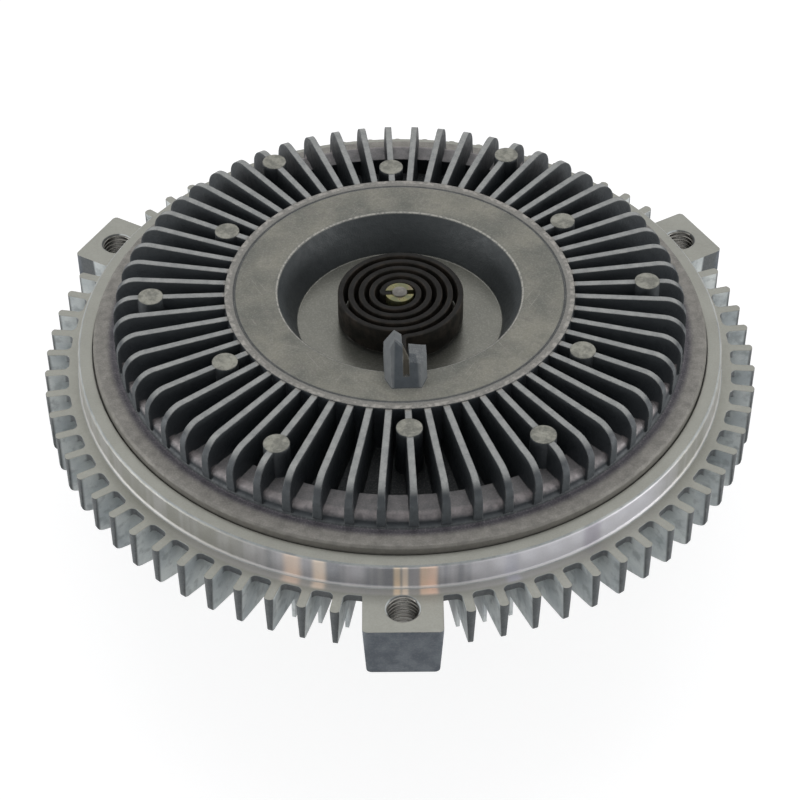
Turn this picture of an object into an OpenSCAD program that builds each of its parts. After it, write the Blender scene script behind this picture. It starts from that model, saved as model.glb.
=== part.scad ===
// Viscous fan clutch. Millimetres, +Z towards the front, origin at the centre of the collar's rear face.
// Heights named *_h are measured from the front face of the fan flange, which lies at flange_z.

/* [Fan mounting] */
// Diameter of the circle through the fan bolt holes
bolt_circle_d = 140; // [134:0.5:150]
// Number of fan lugs
lug_count = 3; // [3:1:4]
// Width of a lug
lug_w = 14.8; // [12:0.1:16]
// Depth of a lug behind the flange face
lug_depth = 11; // [9:0.5:14]
// Metal outside the bolt circle on a lug
lug_edge = 5.7; // [4.5:0.1:8]
// Radius of a lug's outer corners
lug_corner_r = 0.9; // [0.5:0.1:2]
// Narrowing of a lug on each side down to its lower edge
lug_draft = 0.7; // [0.2:0.1:1]
// Radius of a lug's lower corners
lug_foot_r = 1; // [0.5:0.1:2]
// Thread diameter of the fan bolt holes
lug_thread_d = 6; // [5:0.5:8]
// Depth of the chamfer at the mouth of a bolt hole
lug_chamfer = 0.3; // [0.2:0.05:0.6]

/* [Flange and teeth] */
// Distance of the pilot lip inside the bolt circle
pilot_inset = 5.1; // [4.6:0.1:7]
// Flat ledge between the pilot lip and the tooth roots
flange_ledge = 2.3; // [1.5:0.1:3]
// Thickness of the flange between the teeth
flange_t = 1.6; // [1.2:0.1:2.5]
// Tooth places round the flange
tooth_places = 72; // [60:12:84]
// Length of a tooth outside its root
tooth_l = 4.8; // [3:0.1:6]
// Height of a tooth's outer edge
tooth_depth = 9.2; // [7:0.1:11]
// Thickness of a tooth at the flange face
tooth_t = 1.8; // [1.4:0.1:2.2]
// Thickness of a tooth at its lower edge
tooth_edge_t = 0.8; // [0.6:0.1:1.4]
// Radius of the corners between teeth
tooth_root_r = 1.2; // [0.6:0.1:1.5]
// Radius of a tooth's rounded outer edge
tooth_nose_r = 1.1; // [1:0.05:1.5]
// Radius of a tooth's lower outer corner
tooth_foot_r = 1.8; // [0.8:0.1:2.5]

/* [Rear housing] */
// Wall of the pilot lip
lip_wall = 1.8; // [1.4:0.1:2.5]
// Length of the hook rolled over the cover's edge
hook_l = 1.1; // [0.6:0.1:1.6]
// Thickness of the rolled hook
hook_t = 1.15; // [0.8:0.05:1.6]
// Height of the cover's seat above the flange face
seat_h = 1.5; // [1:0.1:2.5]
// Width of the cover's seat
seat_w = 6.1; // [5:0.1:7]
// Wall of the housing outside the working chamber
chamber_wall = 2.5; // [2:0.1:3]
// Thickness of the housing floor
housing_floor_t = 2.6; // [2:0.1:4]
// Setback of the rear fins' outer edge from the pilot lip
rear_fin_setback = 4.4; // [3.5:0.1:5.5]
// Height of the rear fins at their outer edge
rear_fin_l = 4.9; // [3:0.1:7]
// Thickness of a rear fin at its free edge
rear_fin_t = 0.7; // [0.5:0.1:1.2]
// Gap between the bearing boss and the rear fins
rear_fin_gap = 6; // [4:0.5:9]

/* [Front cover] */
// Thickness of the cover's edge held by the hook
cover_edge_t = 2.7; // [2:0.1:4]
// Height of the rim above the pilot lip
rim_stand = 1.75; // [1:0.05:3]
// Width of the rim outside the drum
rim_w = 5.1; // [4.6:0.1:7]
// Height of the drum's ledge above the rim
ledge_stand = 2.8; // [2:0.1:4]
// Width of the drum's ledge
ledge_w = 5.6; // [4:0.1:7]
// Thickness of the floor between the fins
cover_floor_t = 2.5; // [2:0.1:3.5]
// Number of cooling fins
fin_count = 60; // [48:12:72]
// Thickness of a fin along its top
fin_t = 1.25; // [1:0.05:1.6]
// Thickness of a fin at its foot
fin_foot_t = 2; // [1.6:0.05:2.2]
// Overhang of the fins outside the drum
fin_overhang = 0.6; // [0.3:0.1:1.5]
// Radius of the fins' outer top corner
fin_corner_r = 4.5; // [2:0.1:6]
// Radius of the fins' outer lower corner
fin_tail_r = 1; // [0.5:0.1:1.5]
// Drop of the fin tops below the plateau
fin_drop = 0.2; // [0.1:0.05:0.6]
// Diameter of the ejector bosses
boss_d = 5; // [4:0.1:6]
// Angle of the cover from the fan lugs
cover_clock = 2.16; // [0:0.01:5.99]

/* [Plateau and recess] */
// Depth of the coil recess
recess_depth = 8.05; // [7:0.05:10]
// Thickness of the recess floor
recess_floor_t = 2.5; // [2:0.1:3.5]
// Clear space between the coil and the foot of the recess wall
recess_gap = 7.06; // [6:0.02:9]
// Sideways run of the tapered recess wall
recess_flare = 3.8; // [2.5:0.1:5]
// Width of the broken edge round the recess
recess_break = 0.4; // [0.2:0.05:0.8]
// Width of the plateau
plateau_w = 10.4; // [9:0.1:12]
// Wall round the fluid reservoir
reservoir_wall = 2; // [1.6:0.1:2.5]
// Distance of the scribed ring from the plateau's edge
groove_inset = 1.9; // [1.2:0.1:2.6]
// Width and depth of the scribed ring
groove_w = 0.45; // [0.2:0.05:0.6]

/* [Spring post] */
// Width of the post at the coil
post_w = 8.1; // [7:0.1:9.5]
// Width of the post's front face
post_front_w = 5.7; // [5:0.1:6.8]
// Reach of the post's foot over the plateau
post_foot = 4.9; // [4:0.1:6]
// Height of the post above the plateau
post_stand = 8; // [6:0.1:9]
// Drop of the lower prong below the higher one
prong_drop = 3.6; // [2:0.1:5]

/* [Bimetal coil and valve] */
// Thickness of the coil strip
coil_t = 1.1; // [0.8:0.05:1.3]
// Width of the coil strip
coil_w = 6; // [5:0.1:7]
// Distance between turns of the coil
coil_pitch = 2.1; // [1.9:0.05:2.4]
// Half turns of the coil
coil_half_turns = 9; // [7:2:11]
// Clear space round the coil strip in its slots
slot_gap = 0.2; // [0.1:0.05:0.4]
// Diameter of the arbor that takes the coil
arbor_d = 5.7; // [5.2:0.1:6.5]
// Diameter of the valve shaft's peened end
shaft_pin_d = 3; // [2.6:0.1:3.4]
// Diameter of the valve shaft in the cover
valve_shaft_d = 4.8; // [4.4:0.1:5.4]
// Length of the valve shaft's bearing in the cover
valve_bearing_l = 5.5; // [4:0.1:8]
// Thickness of the thrust washer
washer_t = 0.5; // [0.3:0.05:0.8]
// Thickness of the valve lever
lever_t = 1; // [0.8:0.1:1.5]
// Clear space between the tip of the valve lever and the reservoir wall
lever_tip_gap = 1.6; // [0.8:0.1:6]
// Diameter of the feed port
port_d = 4; // [3:0.1:5]

/* [Pump plate and rotor] */
// Thickness of the pump plate
plate_t = 1.2; // [0.8:0.1:1.6]
// Height of the pump plate's rear face
plate_h = 0.2; // [0:0.05:0.5]
// Number of rivets in the pump plate
rivet_count = 4; // [3:1:8]
// Diameter of a rivet
rivet_d = 2; // [1.6:0.1:2.4]
// Pitch of the concentric lands
land_pitch = 4; // [3.6:0.1:5]
// Clearance between the lands
land_gap = 0.4; // [0.3:0.05:0.6]
// Height of the lands
land_l = 4.2; // [3:0.1:5]
// Thickness of the rotor web
rotor_web_t = 4.4; // [3.5:0.1:6]

/* [Bearing and drive shaft] */
// Bore of the bearing
bearing_bore = 25; // [22:0.5:28]
// Outside diameter of the bearing
bearing_od = 47; // [44:0.5:52]
// Width of the bearing
bearing_w = 16; // [15:0.5:18]
// Diameter of the balls
ball_d = 5.5; // [5:0.1:5.9]
// Balls in each row
ball_count = 15; // [9:1:16]
// Wall of the bearing boss
boss_wall = 5.5; // [4:0.1:7]
// Thickness of the retaining ring
ring_t = 1.5; // [1.2:0.1:2]
// Diameter of the rotor's seat on the shaft
rotor_seat_d = 22; // [19:0.5:23]
// Width across the flats of the hexagonal collar
collar_af = 32; // [30:0.5:38]
// Length of the hexagonal collar
collar_l = 18; // [14:0.5:24]
// Thread diameter of the collar's bore
thread_d = 22; // [18:0.5:24]
// Length of the shaft's shoulder behind the bearing
shoulder_l = 5.5; // [4.5:0.1:9]

/* [Hidden] */
$fn = 96;

// Clearances
fit_gap = 0.1;
running_gap = 0.3;
// How far a piece is let into the body that it is cast with
embed = 0.8;
// Stock that the turning cut removes
stock = 0.6;
// Break of turned edges and corners
turned_break = 0.45;
// Rounding of the drum's edge, and of the corner at its foot
drum_round_r = 1.6;
drum_foot_r = 1.1;
// Facets of a corner that is rounded between slanting edges
corner_steps = 4;

// Radii, from the bolt circle inwards
bolt_r = bolt_circle_d / 2;
pilot_r = bolt_r - pilot_inset;
lip_inner_r = pilot_r - lip_wall;
hook_r = lip_inner_r - hook_l;
root_r = pilot_r + flange_ledge;
tip_r = root_r + tooth_l;
chamber_r = lip_inner_r - seat_w;
rear_fin_r = pilot_r - rear_fin_setback;
lug_face_r = bolt_r + lug_edge;
cover_edge_r = lip_inner_r - fit_gap;
rim_r = hook_r - running_gap;
drum_r = rim_r - rim_w;
fin_r = drum_r + fin_overhang;
ledge_r = drum_r - ledge_w;

// Radii, from the valve shaft outwards
arbor_r = arbor_d / 2;
arbor_foot_r = arbor_r + 1;
coil_first_r = arbor_r + slot_gap + coil_t / 2;
coil_last_r = coil_first_r + coil_half_turns * coil_pitch / 2;
// The spiral's two centres lie to either side of the shaft, and the spiral as a whole to its left
coil_lean = coil_pitch / 6;
recess_floor_r = coil_last_r + coil_t / 2 + recess_gap;
recess_r = recess_floor_r + recess_flare;
plateau_r = recess_r + plateau_w;
wall_draft = 0.5;
plateau_foot_r = plateau_r + wall_draft;
reservoir_r = plateau_r - reservoir_wall;
port_lap = 1.2;
lever_pad_r = port_d / 2 + port_lap;
port_r = reservoir_r - lever_tip_gap - lever_pad_r;
plate_land_w = 1.2;
plate_land_r = plateau_foot_r + plate_land_w;
plate_r = plate_land_r - running_gap;
rivet_r = (reservoir_r + plate_r) / 2;
rotor_rim_gap = 2.5;
rotor_r = chamber_r - rotor_rim_gap;
outer_boss_inset = 1.5;
outer_boss_r = ledge_r - outer_boss_inset;
inner_boss_r = plateau_r + boss_d;

// Lands of the labyrinth, from the rotor's rim inwards
land_t = land_pitch / 2 - land_gap;
land_margin = 1;
land_count = floor((rotor_r - plate_land_r - land_margin) / land_pitch);
land_zone_r = rotor_r - land_count * land_pitch + land_gap;
rotor_hole_count = 6;

// Radii, from the drive shaft outwards
bearing_bore_r = bearing_bore / 2;
bearing_r = bearing_od / 2;
ball_r = ball_d / 2;
ball_pitch_r = (bearing_bore_r + bearing_r) / 2;
race_gap = 2;
inner_race_r = ball_pitch_r - race_gap;
outer_race_r = ball_pitch_r + race_gap;
bearing_boss_r = bearing_r + boss_wall;
abutment_w = 1;
abutment_r = outer_race_r + abutment_w;
hub_lap = 0.4;
rotor_hub_r = inner_race_r + hub_lap;
boss_draft = 1;
boss_foot_r = bearing_boss_r + boss_draft;
rear_fin_inner_r = boss_foot_r + rear_fin_gap;

// Heights, from the working chamber's top down to the collar's rear face
rotor_web_gap = 0.6;
web_h = -rotor_web_gap;
chamber_top_h = web_h + land_l + land_gap;
web_rear_h = web_h - rotor_web_t;
chamber_floor_h = web_rear_h - land_l - land_gap;
housing_rear_h = chamber_floor_h - housing_floor_t;
abutment_t = 1.3;
bearing_top_h = housing_rear_h - abutment_t;
bearing_rear_h = bearing_top_h - bearing_w;
ring_groove_h = bearing_rear_h - ring_t - fit_gap;
boss_end_l = 1.5;
bearing_boss_end_h = ring_groove_h - boss_end_l;
collar_top_h = bearing_rear_h - shoulder_l;
collar_rear_h = collar_top_h - collar_l;
flange_z = -collar_rear_h;
hub_drop = 0.8;
rotor_hub_top_h = web_h - hub_drop;
shaft_peen_l = 0.7;
shaft_end_h = rotor_hub_top_h + shaft_peen_l;
// Fall of a tooth's lower edge, and of a rear fin's, from its outer end inwards
tooth_fall = 2.3;
rear_fin_fall = 1.9;
tooth_foot_h = -tooth_depth - tooth_fall;
rear_fin_edge_h = housing_rear_h - rear_fin_l;
rear_fin_end_h = rear_fin_edge_h - rear_fin_fall;

// Outer shape of the housing's shell, from the flange down to its rear face
flange_set = 0.4;
neck_fall = 1.4;
neck_l = 2;
neck_r = chamber_r + 2 * chamber_wall;
neck_h = -flange_t - neck_fall;
waist_r = chamber_r + chamber_wall;
waist_h = neck_h - neck_l;
shell_foot_r = chamber_r + 0.6 * chamber_wall;
shell_foot_h = chamber_floor_h + stock;
shell_toe_r = chamber_r - 1;
// Rise of a rear fin's lower edge at its inner end
rear_fin_toe = 3;
// Depth of the retaining ring's groove in the bearing boss
ring_groove_d = 1.5;

// Heights, from the pump plate forwards
plate_top_h = plate_h + plate_t;
lever_h = plate_top_h + running_gap;
lever_top_h = lever_h + lever_t;
valve_boss_h = lever_top_h + running_gap;
recess_floor_h = valve_boss_h + valve_bearing_l;
plateau_h = recess_floor_h + recess_depth;
plateau_t = recess_floor_t + wall_draft;
reservoir_h = plateau_h - plateau_t;
arbor_base_t = 0.4;
arbor_h = recess_floor_h + washer_t;
coil_h = arbor_h + arbor_base_t + fit_gap;
coil_top_h = coil_h + coil_w;
fin_h = plateau_h - fin_drop;
lip_h = seat_h + cover_edge_t + fit_gap + hook_t;
rim_h = lip_h + rim_stand;
ledge_h = rim_h + ledge_stand;
fin_floor_h = chamber_top_h + cover_floor_t;
fin_tail_h = rim_h + fit_gap;
rivet_hole_l = 3;
rivet_head_t = 0.7;
rivet_head_lap = 0.8;

// Walls inside the cover, and pairs of ejector bosses
recess_wall_t = 2.4;
valve_boss_wall = 3;
boss_pairs = 6;

// Spring post
post_heel = 2.5;
post_top_l = 3;
post_flank = 2.4;
prong_top_w = 1.4;
shoulder_fall = 2.9;
peak_fall = 1.2;
prong_fall = 1.2;
post_web_t = 1.3;
post_groove_d = 0.5;
post_groove_stand = 2;

// Seal rings and their grooves
seal_groove_w = 2.5;
seal_groove_d = 1.9;
seal_inset = 0.3;
seal_r = (chamber_r + lip_inner_r) / 2 - seal_inset;
valve_seal_w = 1.5;
valve_seal_d = 0.85;
valve_seal_h = (valve_boss_h + recess_floor_h) / 2;
// Height of the valve shaft's peened end above the arbor
peen_stand = 0.35;

// Opening of the retaining ring, and the eyes at its ends
ring_opening = 9;
ring_eye_angle = 13;
ring_eye_r = 1.9;

// Broken corners of the hexagonal collar
collar_break = 0.3;
collar_bevel = 1.6;

// Bearing seals, ball rows and cages; each row halves the room between the middle and its seal
seal_t = 1;
row_offset = (bearing_w / 2 - seal_t) / 2;
cage_edge_w = 0.3;
cage_half_w = ball_r + cage_edge_w;
cage_t = 1.6;
ball_gap = 0.05;
bearing_mid_h = (bearing_top_h + bearing_rear_h) / 2;

// Places a shape whose heights count from the flange face
module on_flange() { translate([0, 0, flange_z]) children(); }

// Turns a shape with the cover, which is clocked from the lugs
module on_cover() { on_flange() rotate(cover_clock) children(); }

// Copies a shape round the axis, along +X first
module around(count, first = 0) {
    for (i = [0 : count - 1]) rotate(first + i * 360 / count) children();
}

// Flat ring with its lower face at height h
module ring(inner_r, outer_r, h, t) {
    translate([0, 0, h]) linear_extrude(t) difference() {
        circle(outer_r);
        circle(inner_r);
    }
}

// Radial plate along +X with the side view (radius, height) and the section (width, height)
module radial_plate(side, section, reach) {
    intersection() {
        rotate([90, 0, 0]) linear_extrude(reach / 4, center = true) polygon(side);
        rotate([90, 0, 90]) linear_extrude(reach) polygon(section);
    }
}

// Corner of radius r cut away from a shape whose corner is at the origin, pointing to +X +Y
module corner_cut(r) {
    difference() {
        translate([-r, -r]) square(2 * r);
        translate([-r, -r]) circle(r);
        translate([-3 * r, -3 * r]) square([2 * r, 5 * r]);
        translate([-3 * r, -3 * r]) square([5 * r, 2 * r]);
    }
}

// Corner of width c broken at 45 degrees, cut from a shape whose corner is at the origin, pointing to +X +Y
module edge_cut(c) {
    polygon([[-c, c], [-c, 0], [0, -c], [c, -c], [c, c]]);
}

// Points of an arc round a centre, from one angle to another
function arc(x, y, r, first, last) = [
    for (i = [0 : corner_steps])
        let (a = first + (last - first) * i / corner_steps) [x + r * cos(a), y + r * sin(a)]
];

// Concentric lands of the labyrinth that stand between two heights
module lands(first_r, h, l) {
    for (k = [0 : land_count - 1]) {
        outer = first_r - k * land_pitch;
        ring(outer - land_t, outer, h, l);
    }
}

// Front cover

// Half section of the cover before its corners are cut, without lands
module cover_outline() {
    bore_r = valve_shaft_d / 2 + fit_gap / 2;
    wall_foot_r = recess_floor_r + recess_wall_t;
    valve_boss_r = valve_shaft_d / 2 + valve_boss_wall;
    recess_roof_h = recess_floor_h - recess_floor_t;
    edge_top_h = seat_h + cover_edge_t;
    polygon([
        [bore_r, recess_floor_h],
        [recess_floor_r, recess_floor_h],
        [recess_r - recess_break * recess_flare / recess_depth, plateau_h - recess_break],
        [recess_r + recess_break, plateau_h],
        [plateau_r, plateau_h],
        [plateau_foot_r, fin_floor_h],
        [ledge_r - wall_draft, fin_floor_h],
        [ledge_r, ledge_h],
        [drum_r, ledge_h],
        [drum_r, rim_h],
        [rim_r, rim_h],
        [rim_r, edge_top_h],
        [cover_edge_r, edge_top_h],
        [cover_edge_r, seat_h],
        [chamber_r, seat_h],
        [chamber_r, chamber_top_h],
        [plate_land_r, chamber_top_h],
        [plate_land_r, plate_top_h],
        [reservoir_r, plate_top_h],
        [reservoir_r, reservoir_h],
        [wall_foot_r + recess_flare, reservoir_h],
        [wall_foot_r, recess_roof_h],
        [valve_boss_r, recess_roof_h],
        [valve_boss_r, valve_boss_h],
        [bore_r, valve_boss_h]
    ]);
}

// Half section of the cover, with the drum's foot rounded and its edges cut
module cover_section() {
    difference() {
        union() {
            cover_outline();
            translate([drum_r, rim_h]) rotate(180) corner_cut(drum_foot_r);
        }
        translate([plateau_r - groove_inset, plateau_h]) rotate(45) square(groove_w, center = true);
        translate([drum_r, ledge_h]) corner_cut(drum_round_r);
        translate([rim_r, rim_h]) edge_cut(turned_break);
    }
}

// One cooling fin with its rounded outer corners
module cover_fin() {
    foot_h = fin_floor_h - embed;
    inner_r = plateau_r - embed;
    section = [
        [-fin_t / 2, fin_h + stock], [fin_t / 2, fin_h + stock],
        [fin_foot_t / 2, foot_h], [-fin_foot_t / 2, foot_h]
    ];
    intersection() {
        rotate([90, 0, 0]) linear_extrude(4 * fin_foot_t, center = true) difference() {
            polygon([
                [inner_r, foot_h], [drum_r - embed, foot_h], [drum_r - embed, fin_tail_h],
                [fin_r, fin_tail_h], [fin_r, fin_h], [inner_r, fin_h]
            ]);
            translate([fin_r, fin_h]) corner_cut(fin_corner_r);
            translate([fin_r, fin_tail_h]) mirror([0, 1]) corner_cut(fin_tail_r);
        }
        rotate([90, 0, 90]) linear_extrude(2 * fin_r) polygon(section);
    }
}

// Ejector boss, a little wider at its foot
module ejector_boss(r) {
    foot_h = fin_floor_h - embed;
    translate([r, 0, foot_h])
        cylinder(h = plateau_h - fin_drop / 2 - foot_h, d1 = boss_d + wall_draft, d2 = boss_d);
}

// Radius of the post's leaning front face at a height
function post_front_r(h) = recess_r + post_foot * (plateau_h + post_stand - h) / post_stand;

// Post that holds the outer end of the coil, along +X, with one prong higher than the other
module spring_post() {
    inner_r = recess_floor_r - post_heel;
    back_r = recess_r - post_top_l;
    top_h = plateau_h + post_stand;
    front_r = post_front_r(plateau_h);
    lean = atan(post_foot / post_stand);
    slot_w = coil_t + slot_gap;
    shoulder_y = slot_w / 2 + prong_top_w;
    lower_h = top_h - prong_drop;
    clear_h = top_h + embed;
    foot_h = recess_floor_h - recess_floor_t / 2;
    root_h = plateau_h - 2 * embed;
    groove_h = plateau_h + post_groove_stand;
    side = [
        [inner_r, foot_h],
        [inner_r, plateau_h],
        [back_r, plateau_h + post_stand / 2],
        [back_r, top_h],
        [recess_r, top_h],
        [front_r, plateau_h],
        [front_r, root_h],
        [recess_r + embed, root_h],
        [recess_floor_r + embed, foot_h]
    ];
    difference() {
        intersection() {
            rotate([90, 0, 0]) linear_extrude(2 * post_w, center = true) polygon(side);
            // Flanks that run alongside the leaning front face
            translate([front_r, 0, plateau_h]) rotate([0, -lean, 0])
                linear_extrude(8 * post_stand, center = true) polygon([
                    [embed, -post_front_w / 2], [embed, post_front_w / 2], [0, post_front_w / 2],
                    [-post_flank, post_w / 2], [-front_r, post_w / 2],
                    [-front_r, -post_w / 2], [-post_flank, -post_w / 2], [0, -post_front_w / 2]
                ]);
            // Front view: the higher prong's peak, and a fall across the slot to the lower prong
            rotate([90, 0, 90]) linear_extrude(2 * front_r) polygon([
                [-post_w, 0], [post_w, 0], [post_w, lower_h - prong_fall], [slot_w / 2, lower_h],
                [-slot_w / 2, top_h - peak_fall], [-shoulder_y, top_h],
                [-post_w / 2, top_h - shoulder_fall], [-post_w, top_h - 2 * shoulder_fall]
            ]);
        }
        // Slot for the end of the coil, closed in front by a web
        rotate([90, 0, 0]) linear_extrude(slot_w, center = true) polygon([
            [inner_r - embed, coil_h - fit_gap], [recess_floor_r, coil_h - fit_gap],
            [front_r - post_web_t, plateau_h], [post_front_r(clear_h) - post_web_t, clear_h],
            [inner_r - embed, clear_h]
        ]);
        // Groove in the web's front face
        rotate([90, 0, 0]) linear_extrude(slot_w - 2 * fit_gap, center = true) polygon([
            [post_front_r(groove_h) - post_groove_d, groove_h], [front_r + embed, groove_h],
            [front_r + embed, clear_h], [post_front_r(clear_h) - post_groove_d, clear_h]
        ]);
    }
}

module front_cover() {
    color([0.50, 0.50, 0.49]) on_cover() difference() {
        union() {
            rotate_extrude() cover_section();
            around(fin_count) cover_fin();
            around(boss_pairs) ejector_boss(outer_boss_r);
            around(boss_pairs, 180 / boss_pairs) ejector_boss(inner_boss_r);
            rotate(-90) spring_post();
            lands(rotor_r - land_pitch / 2, web_h + land_gap, land_l + embed);
        }
        around(rivet_count) translate([rivet_r, 0, plate_top_h - embed])
            cylinder(h = embed + rivet_hole_l, d = rivet_d);
    }
}

// Rear housing

// Half section of the housing casting, with stock where the pilot and flange are turned
module housing_section() {
    difference() {
        polygon([
            [abutment_r, chamber_floor_h],
            [chamber_r, chamber_floor_h],
            [chamber_r, seat_h],
            [lip_inner_r, seat_h],
            [lip_inner_r, lip_h - hook_t],
            [hook_r, lip_h - hook_t],
            [hook_r, lip_h],
            [pilot_r + stock, lip_h],
            [pilot_r + stock, stock],
            [root_r - flange_set, stock],
            [root_r - flange_set, -flange_t - fit_gap],
            [neck_r, neck_h],
            [waist_r, waist_h],
            [shell_foot_r, shell_foot_h],
            [shell_toe_r, housing_rear_h],
            [boss_foot_r, housing_rear_h],
            [bearing_boss_r, bearing_boss_end_h],
            [bearing_r, bearing_boss_end_h],
            [bearing_r, bearing_top_h],
            [abutment_r, bearing_top_h]
        ]);
        translate([bearing_r - embed, ring_groove_h]) square([embed + ring_groove_d, ring_t + fit_gap]);
    }
}

// Groove of the cover's seal, in the seat
module seal_groove() {
    translate([seal_r - seal_groove_w / 2, seat_h - seal_groove_d])
        square([seal_groove_w, seal_groove_d + embed]);
}

// Metal that is turned off outside the pilot lip and above the flange face
module turning_cut() {
    outside_r = lug_face_r + lug_w;
    difference() {
        translate([pilot_r, 0]) square([outside_r - pilot_r, lip_h + stock]);
        translate([pilot_r, 0]) polygon([[0, 0], [turned_break, 0], [0, turned_break]]);
    }
    translate([pilot_r, lip_h]) edge_cut(turned_break);
}

// Gap between two teeth, along +X, with rounded corners at its root
module root_slot() {
    w = 2 * root_r * sin(180 / tooth_places) - tooth_t + 2 * fit_gap;
    difference() {
        translate([root_r, -w / 2]) square([2 * tooth_l, w]);
        for (side = [-1, 1]) translate([root_r, side * w / 2]) mirror([1, 0]) scale([1, side])
            corner_cut(tooth_root_r);
    }
}

// Flange between the teeth, flat below and with stock above
module flange_web() {
    translate([0, 0, -flange_t]) linear_extrude(flange_t + stock / 2) difference() {
        circle(root_r + tooth_root_r);
        circle(pilot_r - embed);
        around(tooth_places, 180 / tooth_places) root_slot();
    }
}

// Side view of a rear fin, which runs out to a tooth unless it stands behind a lug
function rear_fin_side(toothed) =
    let (
        shelf_r = pilot_r - embed,
        fall_angle = atan2(tooth_fall, tip_r - rear_fin_r),
        corner_h = -tooth_depth + tooth_foot_r * (1 - sin(fall_angle)) / cos(fall_angle),
        corner = arc(tip_r - tooth_foot_r, corner_h, tooth_foot_r, 0, fall_angle - 90),
        inner = [
            [rear_fin_inner_r, rear_fin_end_h + rear_fin_toe],
            [rear_fin_inner_r, housing_rear_h + embed],
            [shell_toe_r - embed, housing_rear_h + embed],
            [shell_foot_r - embed, shell_foot_h + embed],
            [waist_r - embed, waist_h + embed],
            [shelf_r, -flange_t / 2]
        ],
        outer = toothed
            ? concat([[shelf_r, 2 * stock], [tip_r, 2 * stock]], corner)
            : [[shelf_r, -flange_t / 2 - embed]],
        lower = [
            [rear_fin_r, tooth_foot_h],
            [rear_fin_r, rear_fin_edge_h],
            [rear_fin_inner_r + rear_fin_toe, rear_fin_end_h]
        ]
    )
    concat(inner, outer, lower);

// Rear fin along +X, with a rounded outer edge where it ends in a tooth
module rear_fin(toothed) {
    low_h = rear_fin_end_h - embed;
    section = [
        [-tooth_t / 2, 3 * stock], [-tooth_t / 2, 0], [-tooth_edge_t / 2, -tooth_depth],
        [-rear_fin_t / 2, low_h], [rear_fin_t / 2, low_h],
        [tooth_edge_t / 2, -tooth_depth], [tooth_t / 2, 0], [tooth_t / 2, 3 * stock]
    ];
    if (toothed) intersection() {
        radial_plate(rear_fin_side(true), section, 2 * tip_r);
        translate([0, 0, low_h - embed]) linear_extrude(-low_h + 2 * embed + 3 * stock) {
            translate([0, -tooth_nose_r]) square([tip_r - tooth_nose_r, 2 * tooth_nose_r]);
            translate([tip_r - tooth_nose_r, 0]) circle(tooth_nose_r);
        }
    }
    else radial_plate(rear_fin_side(false), section, 2 * tip_r);
}

// Fan lug along +X, without its hole, drafted and with rounded lower corners
module fan_lug() {
    inner_r = chamber_r + embed;
    draft_angle = atan2(lug_draft, lug_depth);
    corner_x = lug_w / 2 - lug_draft + lug_foot_r * (tan(draft_angle) - 1 / cos(draft_angle));
    corner_h = lug_foot_r - lug_depth;
    intersection() {
        translate([0, 0, -lug_depth - embed]) linear_extrude(lug_depth + embed + 2 * stock) difference() {
            translate([inner_r, -lug_w]) square([lug_face_r - inner_r, 2 * lug_w]);
            translate([lug_face_r, lug_w / 2]) corner_cut(lug_corner_r);
            translate([lug_face_r, -lug_w / 2]) mirror([0, 1]) corner_cut(lug_corner_r);
        }
        rotate([90, 0, 90]) linear_extrude(2 * lug_face_r) polygon(concat(
            [[lug_w / 2, 3 * stock], [lug_w / 2, 0]],
            arc(corner_x, corner_h, lug_foot_r, -draft_angle, -90),
            arc(-corner_x, corner_h, lug_foot_r, -90, draft_angle - 180),
            [[-lug_w / 2, 0], [-lug_w / 2, 3 * stock]]
        ));
    }
}

// Threaded hole through a lug
module fan_bolt_hole() {
    translate([bolt_r, 0, -lug_depth - embed]) cylinder(h = lug_depth + 2 * embed, d = lug_thread_d);
    translate([bolt_r, 0, -lug_chamfer])
        cylinder(h = 2 * lug_chamfer, d1 = lug_thread_d, d2 = lug_thread_d + 4 * lug_chamfer);
}

// True where a tooth place is taken by a lug
function under_lug(place) =
    let (per_lug = tooth_places / lug_count, step = place % per_lug, lug_half = lug_w / 2 + tooth_t)
    min(step, per_lug - step) * 360 / tooth_places < asin(lug_half / root_r);

module rear_housing() {
    color([0.62, 0.61, 0.58]) on_flange() rotate(-90) difference() {
        union() {
            rotate_extrude() housing_section();
            flange_web();
            for (place = [0 : tooth_places - 1])
                rotate(place * 360 / tooth_places) rear_fin(!under_lug(place));
            around(lug_count) fan_lug();
            lands(rotor_r - land_pitch / 2, chamber_floor_h - embed, land_l + embed);
        }
        rotate_extrude() turning_cut();
        rotate_extrude() seal_groove();
        around(lug_count) fan_bolt_hole();
    }
}

// Seal ring between the cover and the housing, pressed flat in its groove
module cover_seal() {
    color([0.12, 0.12, 0.12]) on_flange() rotate_extrude()
        translate([seal_r, seat_h - seal_groove_d / 2]) intersection() {
            circle(d = seal_groove_w - fit_gap);
            square([seal_groove_w * 2, seal_groove_d], center = true);
        }
}

// Coil, arbor and valve

// Half turn of the coil strip on one of the spiral's two centres, from angle first
module coil_arc(r, centre_x, first, sweep) {
    translate([centre_x, 0, coil_h]) rotate(first) rotate_extrude(angle = sweep)
        translate([r - coil_t / 2, 0]) square([coil_t, coil_w]);
}

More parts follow.
